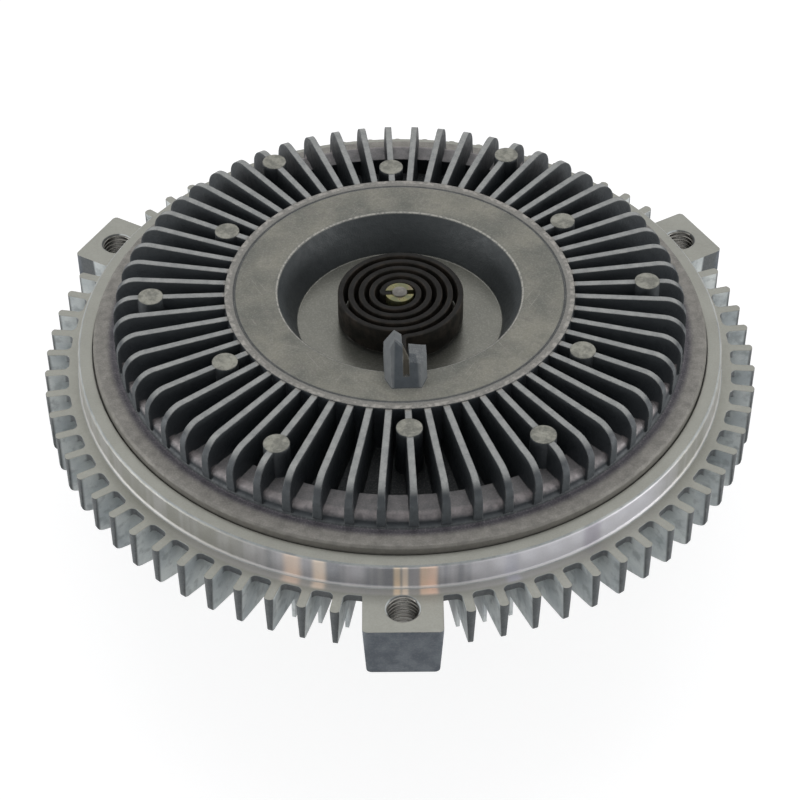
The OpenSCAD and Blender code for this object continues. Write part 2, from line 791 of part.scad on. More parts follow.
module bimetal_coil() {
    shift = coil_pitch / 4;
    last_centre = -shift - coil_lean;
    last_sweep = acos(-last_centre / coil_last_r);
    inner_end_x = shift - coil_lean - coil_first_r;
    post_slot_end = recess_floor_r - slot_gap;
    color([0.16, 0.14, 0.12]) on_cover() {
        for (i = [0 : coil_half_turns - 1]) {
            back = i % 2 == 0;
            centre_x = (back ? shift : -shift) - coil_lean;
            coil_arc(coil_first_r + i * coil_pitch / 2, centre_x, back ? 0 : 180, 180);
        }
        mirror([0, 1, 0]) coil_arc(coil_last_r, last_centre, 0, last_sweep);
        // Inner end, bent into the arbor's slot
        translate([inner_end_x - coil_t / 2, -coil_t / 2, coil_h])
            cube([-inner_end_x + coil_t / 2 - shaft_pin_d / 2 - fit_gap, coil_t, coil_w]);
        // Outer end, bent into the post's slot
        translate([-coil_t / 2, -post_slot_end, coil_h])
            cube([coil_t, post_slot_end - coil_last_r + coil_t / 2, coil_w]);
    }
}

// Sleeve on the valve shaft, slotted for the coil's inner end
module coil_arbor() {
    slot_w = coil_t + slot_gap;
    color([0.72, 0.66, 0.38]) on_cover() difference() {
        union() {
            translate([0, 0, arbor_h]) cylinder(h = arbor_base_t, r = arbor_foot_r);
            translate([0, 0, arbor_h]) cylinder(h = coil_top_h - arbor_h, r = arbor_r);
        }
        translate([0, 0, arbor_h - embed]) cylinder(h = coil_top_h, d = shaft_pin_d);
        translate([-arbor_r * 2, -slot_w / 2, coil_h - fit_gap / 2])
            cube([arbor_r * 4, slot_w, coil_w * 2]);
    }
}

// Stepped shaft, let into the lever below and peened over the arbor above
module valve_shaft() {
    r = valve_shaft_d / 2;
    pin_r = shaft_pin_d / 2;
    color([0.60, 0.60, 0.60]) on_cover() rotate_extrude() difference() {
        polygon([
            [0, lever_h - fit_gap], [pin_r, lever_h - fit_gap], [pin_r, lever_top_h],
            [r, lever_top_h], [r, arbor_h], [pin_r, arbor_h],
            [pin_r, coil_top_h + peen_stand], [0, coil_top_h + peen_stand]
        ]);
        translate([r - valve_seal_d, valve_seal_h - valve_seal_w / 2])
            square([2 * valve_seal_d, valve_seal_w]);
        translate([pin_r, coil_top_h + peen_stand]) corner_cut(0.7 * peen_stand);
    }
}

module valve_shaft_seal() {
    section_d = valve_seal_d + fit_gap / 2;
    middle_r = valve_shaft_d / 2 - valve_seal_d + section_d / 2;
    color([0.12, 0.12, 0.12]) on_cover() rotate_extrude() translate([middle_r, valve_seal_h])
        intersection() {
            circle(d = valve_seal_w - fit_gap);
            square([section_d, valve_seal_w], center = true);
        }
}

module valve_thrust_washer() {
    color([0.66, 0.66, 0.64]) on_cover()
        ring(valve_shaft_d / 2 + fit_gap, arbor_foot_r, recess_floor_h, washer_t);
}

// Arm on the valve shaft that covers the feed port
module valve_lever() {
    hub_r = valve_shaft_d / 2 + 2 * lever_t;
    arm_w = 1.6 * lever_pad_r;
    color([0.70, 0.70, 0.68]) on_cover() translate([0, 0, lever_h]) linear_extrude(lever_t) difference() {
        union() {
            circle(hub_r);
            translate([0, -arm_w / 2]) square([port_r, arm_w]);
            translate([port_r, 0]) circle(lever_pad_r);
        }
        circle(d = shaft_pin_d);
    }
}

// Pump plate and rotor

module pump_plate() {
    color([0.68, 0.68, 0.66]) on_cover() translate([0, 0, plate_h]) linear_extrude(plate_t) difference() {
        circle(plate_r);
        translate([port_r, 0]) circle(d = port_d);
        around(rivet_count) translate([rivet_r, 0]) circle(d = rivet_d);
    }
}

module pump_plate_rivets() {
    color([0.72, 0.72, 0.70]) on_cover() around(rivet_count) translate([rivet_r, 0, 0]) union() {
        translate([0, 0, plate_h - rivet_head_t])
            cylinder(h = rivet_head_t, d1 = rivet_d, d2 = rivet_d + 2 * rivet_head_lap);
        translate([0, 0, plate_h - rivet_head_t / 2])
            cylinder(h = rivet_head_t / 2 + plate_t + rivet_hole_l, d = rivet_d);
    }
}

module rotor() {
    seat_r = rotor_seat_d / 2;
    hub_edge_r = land_zone_r - plate_land_w;
    rim_edge_r = rotor_r - land_t / 2;
    hole_r = (rotor_hub_r + land_zone_r) / 2;
    color([0.66, 0.67, 0.66]) on_flange() difference() {
        union() {
            rotate_extrude() polygon([
                [seat_r, rotor_hub_top_h],
                [hub_edge_r, rotor_hub_top_h],
                [hub_edge_r, web_h],
                [rim_edge_r, web_h],
                [rim_edge_r, web_rear_h],
                [rotor_hub_r, web_rear_h],
                [rotor_hub_r, bearing_top_h],
                [seat_r, bearing_top_h]
            ]);
            lands(rotor_r, web_rear_h - land_l, 2 * land_l + rotor_web_t);
        }
        // Holes that let the fluid reach both sides
        around(rotor_hole_count) translate([hole_r, 0, web_rear_h - embed])
            cylinder(h = rotor_web_t + 2 * embed, d = (land_zone_r - rotor_hub_r) / 3);
    }
}

// Bearing and drive shaft

module drive_shaft() {
    seat_r = rotor_seat_d / 2;
    corner_r = collar_af / sqrt(3);
    shoulder_r = inner_race_r - abutment_w;
    flat_r = collar_af / 2 - collar_break;
    color([0.45, 0.45, 0.46]) on_flange() difference() {
        union() {
            rotate_extrude() polygon([
                [0, collar_top_h - embed], [shoulder_r, collar_top_h - embed], [shoulder_r, bearing_rear_h],
                [bearing_bore_r, bearing_rear_h], [bearing_bore_r, bearing_top_h],
                [seat_r, bearing_top_h], [seat_r, rotor_hub_top_h],
                [seat_r + hub_drop, rotor_hub_top_h], [seat_r + hub_lap, shaft_end_h], [0, shaft_end_h]
            ]);
            // Hexagonal collar with its corners broken at both ends
            intersection() {
                translate([0, 0, collar_rear_h]) cylinder(h = collar_l, r = corner_r, $fn = 6);
                rotate_extrude() polygon([
                    [0, collar_rear_h - embed], [flat_r, collar_rear_h],
                    [corner_r + collar_break, collar_rear_h + collar_bevel],
                    [corner_r + collar_break, collar_top_h - collar_bevel],
                    [flat_r, collar_top_h], [0, collar_top_h + embed]
                ]);
            }
        }
        translate([0, 0, collar_rear_h - embed]) cylinder(h = collar_l + embed, d = thread_d);
    }
}

// Half section of both races, which the balls run in
module ball_tracks() {
    for (side = [-1, 1]) translate([ball_pitch_r, bearing_mid_h + side * row_offset])
        circle(ball_r + ball_gap);
}

module bearing_inner_ring() {
    color([0.75, 0.75, 0.76]) on_flange() rotate_extrude() difference() {
        translate([bearing_bore_r, bearing_rear_h]) square([inner_race_r - bearing_bore_r, bearing_w]);
        ball_tracks();
    }
}

module bearing_outer_ring() {
    color([0.75, 0.75, 0.76]) on_flange() rotate_extrude() difference() {
        translate([outer_race_r, bearing_rear_h]) square([bearing_r - outer_race_r, bearing_w]);
        ball_tracks();
    }
}

// One row of balls on the given side of the bearing's middle
module ball_row(side) {
    around(ball_count) translate([ball_pitch_r, 0, bearing_mid_h + side * row_offset]) sphere(ball_r);
}

// Cage of one row, a ring with a round pocket for each ball
module ball_cage(side) {
    row_h = bearing_mid_h + side * row_offset;
    difference() {
        ring(ball_pitch_r - cage_t / 2, ball_pitch_r + cage_t / 2, row_h - cage_half_w, 2 * cage_half_w);
        around(ball_count) translate([ball_pitch_r, 0, row_h]) rotate([0, 90, 0])
            cylinder(h = 2 * cage_t, r = ball_r + 2 * ball_gap, center = true);
    }
}

module bearing_balls_front() { color([0.80, 0.80, 0.82]) on_flange() ball_row(1); }

module bearing_balls_rear() { color([0.80, 0.80, 0.82]) on_flange() ball_row(-1); }

module bearing_cage_front() { color([0.55, 0.48, 0.35]) on_flange() ball_cage(1); }

module bearing_cage_rear() { color([0.55, 0.48, 0.35]) on_flange() ball_cage(-1); }

// Lip seal in one end of the bearing
module bearing_seal(h) { ring(inner_race_r + fit_gap, outer_race_r, h, seal_t); }

module bearing_seal_front() { color([0.15, 0.15, 0.15]) on_flange() bearing_seal(bearing_top_h - seal_t); }

module bearing_seal_rear() { color([0.15, 0.15, 0.15]) on_flange() bearing_seal(bearing_rear_h); }

// Open ring that holds the bearing in its boss, with an eye at each end
module bearing_retaining_ring() {
    outer_r = bearing_r + ring_groove_d - fit_gap;
    inner_r = outer_r - 2 * ring_t;
    reach = 2 * outer_r;
    half_gap = reach * tan(ring_opening);
    eye_angles = [-ring_eye_angle, ring_eye_angle];
    color([0.35, 0.35, 0.36]) on_flange() translate([0, 0, bearing_rear_h - ring_t]) linear_extrude(ring_t)
        difference() {
            union() {
                difference() {
                    circle(outer_r);
                    circle(inner_r);
                    polygon([[0, 0], [reach, -half_gap], [reach, half_gap]]);
                }
                for (a = eye_angles) rotate(a) translate([inner_r, 0]) circle(ring_eye_r);
            }
            for (a = eye_angles) rotate(a) translate([inner_r, 0]) circle(ring_eye_r / 2);
        }
}

front_cover();
rear_housing();
cover_seal();
bimetal_coil();
coil_arbor();
valve_shaft();
valve_shaft_seal();
valve_thrust_washer();
valve_lever();
pump_plate();
pump_plate_rivets();
rotor();
drive_shaft();
bearing_inner_ring();
bearing_outer_ring();
bearing_balls_front();
bearing_balls_rear();
bearing_cage_front();
bearing_cage_rear();
bearing_seal_front();
bearing_seal_rear();
bearing_retaining_ring();
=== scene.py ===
"""Viscous fan clutch: finishes, threads, wound coil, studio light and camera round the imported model.

Metres, +Z towards the front of the clutch, origin at the centre of the collar's rear face.
Sizes that the solids also have are repeated here from the part's source, in millimetres.
"""
import math

import bmesh
import bpy
import numpy as np
from mathutils import Matrix, Vector


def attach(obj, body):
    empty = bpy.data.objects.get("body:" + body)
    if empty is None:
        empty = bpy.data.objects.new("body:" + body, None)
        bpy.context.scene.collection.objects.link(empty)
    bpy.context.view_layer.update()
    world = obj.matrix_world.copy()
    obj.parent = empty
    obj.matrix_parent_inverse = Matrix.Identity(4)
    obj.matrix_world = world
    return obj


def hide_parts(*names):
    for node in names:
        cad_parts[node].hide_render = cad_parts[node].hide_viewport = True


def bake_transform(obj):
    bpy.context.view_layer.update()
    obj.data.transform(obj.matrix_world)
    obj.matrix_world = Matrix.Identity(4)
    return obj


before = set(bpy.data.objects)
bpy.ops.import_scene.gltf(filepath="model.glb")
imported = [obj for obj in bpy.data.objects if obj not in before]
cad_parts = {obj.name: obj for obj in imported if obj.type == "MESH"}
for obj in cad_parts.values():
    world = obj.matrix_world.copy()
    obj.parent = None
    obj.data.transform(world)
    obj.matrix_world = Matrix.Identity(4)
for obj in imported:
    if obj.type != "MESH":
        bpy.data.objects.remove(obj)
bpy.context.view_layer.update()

MM = 0.001

# Sizes and angles shared with the solids, lengths in millimetres
FLANGE_Z = 53.0
COVER_CLOCK = math.radians(2.16)
BOLT_R = 70.0
LUG_COUNT = 3
FIRST_LUG_ANGLE = -90
LUG_DEPTH = 11.0
LUG_FACE_R = 75.7
TIP_R = 72.0
PILOT_R = 64.9
ROOT_R = 67.2
FLANGE_T = 1.6
PLATEAU_H = 16.55
BOSS_TOP_H = 16.45
PLATEAU_R = 34.86
RECESS_R = 24.46
RECESS_FLOOR_R = 20.66
GROOVE_R = PLATEAU_R - 1.9
FIN_FLOOR_H = 6.5
LEDGE_R = 51.0
LEDGE_H = 10.0
DRUM_R = 56.6
RIM_R = 61.7
COIL_H = 9.5
COIL_W = 6.0
COIL_T = 1.1
COIL_PITCH = 2.1
COIL_HALF_TURNS = 9
COIL_FIRST_R = 3.6
COIL_LEAN = COIL_PITCH / 6
POST_SLOT_END = 20.46
SHAFT_PIN_R = 1.5
LUG_THREAD_R = 3.0
LUG_THREAD_PITCH = 1.0
COLLAR_THREAD_R = 11.0
COLLAR_THREAD_PITCH = 1.5
POST_ANGLE = -90 + math.degrees(COVER_CLOCK)
POST_GROOVE_STAND = 2.0

# Threads: ridge height, half width at the root and half width at the crest over the pitch
RIDGE_SHARE = 0.54
ROOT_SHARE = 0.46
CREST_SHARE = 0.08
# Turns of each thread, and how far above its bore's lower end it starts, in millimetres
LUG_THREAD_TURNS = 9.9
LUG_THREAD_LIFT = 0.6
COLLAR_THREAD_TURNS = 11.0
COLLAR_THREAD_LIFT = 1.0

# Camera that gives the photograph's view, in millimetres and degrees
CAMERA_AIM_Z = 39.01
CAMERA_DISTANCE = 464.2
CAMERA_LIFT = 43.27
CAMERA_SWING = -0.34
CAMERA_ROLL = 0.18
CAMERA_LENS = 100.22
CAMERA_SENSOR = 36

# Studio, in metres: half side of the floor, its drop below the collar, and the point the lamps look at
FLOOR_HALF = 3.0
FLOOR_DROP = 0.0002
LAMP_AIM = (0, 0, 0.05)
# Lamps: name, place, width, height, power in watts
SOFT_BOXES = (
    ("top_box", (0, 0.35, 0.95), 0.9, 0.7, 2.5),
    ("left_box", (-0.8, -0.15, 0.16), 0.5, 0.3, 3.4),
    ("right_box", (0.8, -0.15, 0.16), 0.5, 0.3, 3.4),
)


def paint(red, green, blue):
    """Colour given 0 to 255 a channel, turned into the renderer's own scale."""
    scaled = [channel / 255 for channel in (red, green, blue)]
    linear = [c / 12.92 if c <= 0.04045 else ((c + 0.055) / 1.055) ** 2.4 for c in scaled]
    return (*linear, 1.0)


def feed(tree, socket, value):
    """Links a node's input to another node, or sets its value."""
    if isinstance(value, bpy.types.NodeSocket):
        tree.links.new(value, socket)
    else:
        socket.default_value = value


def add_node(tree, kind, inputs=None, **settings):
    """New node with its settings made and its inputs fed."""
    made = tree.nodes.new(kind)
    for name, value in settings.items():
        setattr(made, name, value)
    for name, value in (inputs or {}).items():
        feed(tree, made.inputs[name], value)
    return made


# Streaks of light on the turned lip: degrees round the axis, half width in degrees, colour
LIP_STREAKS = (
    (-108.2, 2.6, paint(230, 210, 194)), (-103.6, 1.9, paint(240, 223, 206)),
    (-90.9, 1.0, paint(242, 222, 196)), (-89.6, 0.9, paint(244, 228, 210)),
    (-86.5, 1.3, paint(238, 212, 190)), (-85.2, 1.5, paint(248, 218, 198)),
    (-72.0, 2.0, paint(190, 190, 198)), (-57.0, 3.0, paint(172, 168, 178)),
)


# Finishes

class Finish:
    """A material being built: its shader, and the patterns and masks that drive it."""

    def __init__(self, name):
        self.material = bpy.data.materials.new(name)
        self.material.use_nodes = True
        self.tree = self.material.node_tree
        self.shader = self.tree.nodes["Principled BSDF"]
        self.place = self.node("ShaderNodeTexCoord").outputs["Object"]
        self.flat = self.vector("MULTIPLY", self.place, (1, 1, 0))[0]
        self.way = self.vector("NORMALIZE", self.flat)[0]
        self.radius = self.vector("LENGTH", self.flat)["Value"]
        z = self.node("ShaderNodeSeparateXYZ", {0: self.place}).outputs["Z"]
        # Height is counted from the flange face
        self.height = self.math("SUBTRACT", z, FLANGE_Z * MM)

    def node(self, kind, inputs=None, **settings):
        return add_node(self.tree, kind, inputs, **settings)

    def math(self, operation, first, second=0.0):
        return self.node("ShaderNodeMath", {0: first, 1: second}, operation=operation).outputs[0]

    def vector(self, operation, first, second=(0, 0, 0)):
        return self.node("ShaderNodeVectorMath", {0: first, 1: second}, operation=operation).outputs

    def both(self, first, second):
        """Overlap of two masks, or a mask made weaker."""
        return self.math("MULTIPLY", first, second)

    def other(self, share):
        """What a mask leaves out."""
        return self.math("SUBTRACT", 1.0, share)

    def within(self, low, high, soft=0.3):
        """1 between two distances from the axis, in millimetres."""
        return self.band(self.radius, low, high, soft)

    def inside(self, reach, soft=0.3):
        """1 nearer to the axis than reach millimetres."""
        return self.ease(self.radius, (reach - soft) * MM, (reach + soft) * MM, 1.0, 0.0)

    def outward(self, start, end):
        """0 at the first distance from the axis and 1 at the second, in millimetres."""
        return self.ease(self.radius, start * MM, end * MM)

    def above(self, level, soft=0.15):
        """1 higher than a level, in millimetres."""
        return self.rise(level - soft, level + soft)

    def rise(self, start, end):
        """0 at the first height and 1 at the second, in millimetres."""
        return self.ease(self.height, start * MM, end * MM)

    def rounded(self, reach):
        """Direction of the surface, with its edges softened over reach millimetres."""
        return self.node("ShaderNodeBevel", {"Radius": reach * MM}, samples=4).outputs[0]

    def upward(self, normal=None):
        """1 on faces that look along the axis to the front, 0 on upright ones."""
        if normal is None:
            normal = self.node("ShaderNodeNewGeometry").outputs["True Normal"]
        return self.ease(self.node("ShaderNodeSeparateXYZ", {0: normal}).outputs["Z"], 0.6, 0.95)

    def toward(self, degrees, reach, fade):
        """1 within reach degrees of a direction round the axis, fading out over fade degrees."""
        aim = (math.cos(math.radians(degrees)), math.sin(math.radians(degrees)), 0)
        match = self.vector("DOT_PRODUCT", self.way, aim)["Value"]
        return self.ease(match, math.cos(math.radians(reach + fade)), math.cos(math.radians(reach)))

    def near(self, x, y, reach):
        """1 within reach millimetres of an upright line through a point."""
        gap = self.vector("DISTANCE", self.flat, (x * MM, y * MM, 0))["Value"]
        return self.ease(gap, (reach + 0.1) * MM, (reach - 0.1) * MM)

    def ease(self, value, low, high, start=0.0, end=1.0):
        """Goes smoothly from start to end while a value goes from low to high."""
        return self.node("ShaderNodeMapRange", {
            "Value": value, "From Min": low, "From Max": high, "To Min": start, "To Max": end,
        }, interpolation_type="SMOOTHSTEP").outputs[0]

    def band(self, value, low, high, soft):
        """1 between low and high, in millimetres, with soft ends."""
        rise = self.ease(value, (low - soft) * MM, (low + soft) * MM)
        fall = self.ease(value, (high - soft) * MM, (high + soft) * MM, 1.0, 0.0)
        return self.both(rise, fall)

    def noise(self, size, detail=3.0, roughness=0.55, stretch=(1, 1, 1), shift=(0, 0, 0)):
        """Noise whose features are about size millimetres across."""
        spot = self.node("ShaderNodeMapping", {"Vector": self.place, "Scale": stretch, "Location": shift})
        return self.node("ShaderNodeTexNoise", {
            "Vector": spot.outputs[0], "Scale": 1000 / size, "Detail": detail, "Roughness": roughness,
        }).outputs["Fac"]

    def rings(self, size):
        """Fine rings round the axis, as a turning tool leaves them."""
        spot = self.node("ShaderNodeCombineXYZ", {"X": self.radius, "Z": self.height})
        return self.node("ShaderNodeTexNoise", {
            "Vector": spot.outputs[0], "Scale": 1000 / size, "Detail": 2.0, "Roughness": 0.6,
        }).outputs["Fac"]

    def sweep(self, degrees):
        """Noise that only changes round the axis, in stretches of about so many degrees."""
        return self.node("ShaderNodeTexNoise", {
            "Vector": self.way, "Scale": math.degrees(1) / degrees, "Detail": 2.0,
        }).outputs["Fac"]

    def mix(self, share, first, second):
        made = self.node("ShaderNodeMix", {0: share, 6: first, 7: second}, data_type="RGBA")
        return made.outputs[2]

    def edge(self, rounded):
        """1 along edges, where the softened direction leaves the plain one."""
        plain = self.node("ShaderNodeNewGeometry").outputs["Normal"]
        return self.ease(self.vector("DOT_PRODUCT", plain, rounded)["Value"], 0.99, 0.80)

    def bump(self, height, depth, below=None):
        """Relief of the given depth in millimetres, on top of a lower layer."""
        inputs = {"Height": height, "Distance": depth * MM, "Strength": 1.0}
        if below is not None:
            inputs["Normal"] = below
        return self.node("ShaderNodeBump", inputs).outputs[0]

    def scratches(self, size, turn):
        """Short fine scratches in one direction."""
        turned = self.node("ShaderNodeMapping", {"Vector": self.place, "Rotation": (0, 0, turn)})
        drawn = self.node("ShaderNodeMapping", {"Vector": turned.outputs[0], "Scale": (1, 0.03, 0.4)})
        lines = self.node("ShaderNodeTexNoise", {
            "Vector": drawn.outputs[0], "Scale": 1000 / size, "Detail": 1.0,
        }).outputs["Fac"]
        return self.ease(lines, 0.71, 0.77)

    def grit(self, colour, size, amount):
        """Fine dark and light specks over a colour, as on a cast or worn skin."""
        speck = self.noise(size, 2, shift=(0.9, 0.5, 0.7))
        colour = self.mix(self.ease(speck, 0.5, 0.68, 0.0, amount), colour, paint(48, 48, 47))
        return self.mix(self.ease(speck, 0.5, 0.32, 0.0, amount), colour, paint(206, 205, 200))

    def dress(self, **sockets):
        """Sets or links the shader's own sockets."""
        for name, value in sockets.items():
            feed(self.tree, self.shader.inputs[name.replace("_", " ")], value)
        return self.material


def cover_casting():
    """Die-cast cover: matt olive-grey plateau, dark blue-grey flanks and light fin tops, painted as shade and
    as light, and worn edges.
    """
    finish = Finish("cover_casting")
    softened = finish.rounded(0.36)
    upward = finish.upward(softened)
    stain = finish.noise(9, 4)
    mottle = finish.noise(1.6, 3, shift=(0.3, 0.1, 0.2))
    grain = finish.noise(0.35, 2)

    # Painted light and shade: faces that look to the front take a lit copy of the colour, upright faces a
    # shaded one.
    colour = finish.mix(upward, cover_shaded_flanks(finish, stain, mottle), cover_lit_levels(finish, stain, mottle))
    # Painted highlight along the rounding of the drum's upper edge, above the ledge.
    shoulder_highlight = finish.both(finish.within(DRUM_R - 1.5, DRUM_R - 0.15, 0.35),
                           finish.band(finish.height, LEDGE_H - 1.4, LEDGE_H + 0.3, 0.2))
    shoulder_highlight = finish.both(shoulder_highlight, finish.ease(mottle, 0.25, 0.7, 0.3, 0.9))
    colour = finish.mix(shoulder_highlight, colour, paint(156, 149, 149))

    on_plateau = finish.both(finish.within(RECESS_R + 0.1, PLATEAU_R + 0.4, 0.15), upward)
    top = finish.band(finish.height, PLATEAU_H - 0.25, PLATEAU_H + 0.4, 0.1)
    colour = finish.mix(finish.both(on_plateau, top), colour, cover_plateau(finish, stain, mottle))
    brink = finish.both(finish.within(RECESS_R - 0.05, RECESS_R + 0.2, 0.1),
                        finish.above(PLATEAU_H - 0.5, 0.1))
    brink = finish.both(brink, finish.ease(finish.noise(0.7), 0.35, 0.6, 0.1, 1.0))
    colour = finish.mix(brink, colour, paint(184, 181, 172))
    on_post = finish.both(finish.above(PLATEAU_H + 0.2, 0.1), finish.inside(PLATEAU_R - 4))
    colour = finish.mix(on_post, colour, spring_post(finish, mottle))

    worn = finish.both(finish.edge(softened), finish.ease(mottle, 0.45, 0.70))
    colour = finish.mix(finish.both(worn, 0.35), colour, paint(156, 156, 152))
    colour = finish.grit(colour, 0.35, finish.both(upward, 0.10))
    polish = finish.inside(RECESS_FLOOR_R)
    matt = finish.ease(polish, 0.0, 1.0, 1.0, 0.06)
    roughness = finish.math("ADD", finish.ease(polish, 0.0, 1.0, 0.50, 0.26),
                            finish.both(finish.ease(mottle, 0.3, 0.7, 0.14, 0.0), matt))
    metallic = finish.ease(polish, 0.0, 1.0, 0.2, 0.45)
    relief = finish.bump(finish.both(mottle, matt), 0.10, softened)
    relief = finish.bump(finish.both(grain, matt), 0.05, relief)
    return finish.dress(Base_Color=colour, Roughness=roughness, Metallic=metallic, Normal=relief)


def cover_shaded_flanks(finish, stain, mottle):
    """Upright faces of the cover, a copy of the colour painted dark as shade: fin flanks and tails, recess
    wall, wall of the rim.
    """
    colour = finish.mix(stain, paint(31, 36, 41), paint(57, 62, 66))
    # Painted light on the upper part of the flanks, outside the plateau.
    lit_brow = finish.both(finish.above(PLATEAU_H - 2.0, 2.5), finish.outward(PLATEAU_R, PLATEAU_R + 2))
    colour = finish.mix(finish.both(lit_brow, 0.15), colour, paint(112, 115, 114))
    tail = finish.mix(mottle, paint(46, 50, 53), paint(80, 85, 88))
    colour = finish.mix(finish.outward(DRUM_R - 0.2, DRUM_R + 0.5), colour, tail)
    # Painted shade on the deep wall of the recess.
    recess_wall_shade = finish.mix(stain, paint(38, 43, 46), paint(62, 66, 67))
    colour = finish.mix(finish.inside(RECESS_R), colour, recess_wall_shade)
    rim_wall = finish.mix(mottle, paint(86, 85, 80), paint(122, 119, 112))
    return finish.mix(finish.within(RIM_R - 1.0, RIM_R + 2.0), colour, rim_wall)


def cover_lit_levels(finish, stain, mottle):
    """Faces of the cover that look to the front, a copy of the colour painted light as lit from above: fin
    tops, floors, bosses, ledge and rim.
    """
    # Painted shade on the floor deep between the fins.
    floor = finish.mix(stain, paint(28, 32, 35), paint(54, 58, 60))
    fin_top = finish.mix(mottle, paint(124, 127, 128), paint(168, 169, 166))
    colour = finish.mix(finish.above(FIN_FLOOR_H + 1.5), floor, fin_top)
    boss_top = finish.mix(finish.ease(mottle, 0.35, 0.65), paint(118, 118, 110), paint(152, 151, 140))
    on_boss = finish.both(finish.above(BOSS_TOP_H - 0.06, 0.02), finish.outward(PLATEAU_R, PLATEAU_R + 1))
    colour = finish.mix(on_boss, colour, boss_top)
    recess_floor = finish.mix(stain, paint(100, 101, 95), paint(134, 133, 124))
    colour = finish.mix(finish.inside(RECESS_R), colour, recess_floor)
    ledge = finish.mix(mottle, paint(112, 113, 115), paint(146, 141, 141))
    low = finish.other(finish.above(LEDGE_H + 1.0))
    colour = finish.mix(finish.both(finish.within(LEDGE_R - 0.4, DRUM_R + 0.2), low), colour, ledge)
    # Painted shadow of the fins on the inner part of the rim, and painted light on its outer part.
    rim_inner_shadow = finish.mix(mottle, paint(62, 60, 67), paint(90, 86, 92))
    rim_outer_lit = finish.mix(mottle, paint(108, 106, 102), paint(158, 154, 147))
    rim = finish.mix(finish.outward(DRUM_R + 1.2, DRUM_R + 2.8), rim_inner_shadow, rim_outer_lit)
    return finish.mix(finish.outward(DRUM_R + 0.5, DRUM_R + 0.8), colour, rim)


def cover_plateau(finish, stain, mottle):
    """Flat ring round the recess: stained and scratched, with a groove and a worn outer edge that carries a
    painted highlight.
    """
    colour = finish.mix(finish.ease(stain, 0.3, 0.7), paint(102, 103, 96), paint(136, 134, 123))
    colour = finish.mix(finish.ease(mottle, 0.5, 0.75), colour, paint(114, 112, 104))
    for turn in (0.5, 1.9, 2.6):
        colour = finish.mix(finish.both(finish.scratches(0.3, turn), 0.6), colour, paint(146, 144, 136))
    colour = finish.mix(finish.within(GROOVE_R + 0.2, PLATEAU_R + 1, 0.1), colour, paint(128, 126, 121))
    colour = finish.mix(finish.within(GROOVE_R - 0.2, GROOVE_R + 0.2, 0.1), colour, paint(66, 66, 63))
    # Lighter speckled band on the rounded outer edge: wear, and a painted highlight.
    wear_and_highlight = finish.both(finish.ease(finish.noise(1.1, 3), 0.4, 0.65),
                       finish.within(PLATEAU_R - 0.9, PLATEAU_R + 1, 0.2))
    return finish.mix(wear_and_highlight, colour, paint(168, 164, 157))


def spring_post(finish, mottle):
    """Post that holds the coil's outer end: grey, with a dark front panel and a dark brown band of painted
    shade along the groove at the strip.
    """
    colour = finish.mix(finish.noise(2.2, 3), paint(80, 84, 87), paint(112, 115, 116))
    panel = finish.both(finish.within(RECESS_R - 0.2, PLATEAU_R - 4, 0.1),
                        finish.toward(POST_ANGLE, 4.2, 1.0))
    colour = finish.mix(panel, colour, finish.mix(mottle, paint(50, 56, 61), paint(70, 76, 81)))
    # Painted shade in the groove.
    groove_shade = finish.both(finish.toward(POST_ANGLE, 1.0, 0.5), finish.above(PLATEAU_H + POST_GROOVE_STAND))
    return finish.mix(finish.both(panel, groove_shade), colour, paint(66, 62, 52))


def housing_casting():
    """Die-cast housing: turned flange and pilot lip, matt blue-grey teeth and fins."""
    finish = Finish("housing_casting")
    softened = finish.rounded(0.30)
    stain = finish.noise(8, 4, shift=(0.1, 0.4, 0.0))
    mottle = finish.noise(1.4, 3)
    grain = finish.noise(0.3, 2)

    flange = finish.both(finish.upward(), finish.rise(-0.2, -0.05))
    wall = finish.both(finish.within(PILOT_R - 0.2, PILOT_R + 0.5, 0.08), finish.rise(0.05, 0.2))
    turned = finish.math("MAXIMUM", flange, wall)
    colour = finish.mix(turned, cast_skin(finish, stain, mottle), turned_skin(finish, stain, wall))
    worn = finish.both(finish.edge(softened), finish.ease(mottle, 0.45, 0.7))
    colour = finish.mix(finish.both(worn, 0.5), colour, paint(176, 177, 172))
    for lug in range(LUG_COUNT):
        way = math.radians(FIRST_LUG_ANGLE + lug * 360 / LUG_COUNT)
        bore = finish.near(BOLT_R * math.cos(way), BOLT_R * math.sin(way), LUG_THREAD_R + 0.05)
        colour = finish.mix(bore, colour, paint(92, 91, 87))
    colour = finish.grit(colour, 0.35, 0.05)

    metallic = finish.ease(turned, 0.0, 1.0, 0.1, 0.35)
    shine = finish.ease(turned, 0.0, 1.0, 0.52, 0.44)
    roughness = finish.math("ADD", shine, finish.ease(mottle, 0.3, 0.7, 0.0, 0.08))
    roughness = finish.math("SUBTRACT", roughness, finish.both(wall, 0.08))
    skin = finish.both(grain, finish.ease(turned, 0.0, 1.0, 1.0, 0.1))
    cuts = finish.both(finish.rings(0.18), turned)
    relief = finish.bump(cuts, 0.008, finish.bump(skin, 0.05, softened))
    return finish.dress(Base_Color=colour, Roughness=roughness, Metallic=metallic, Normal=relief)


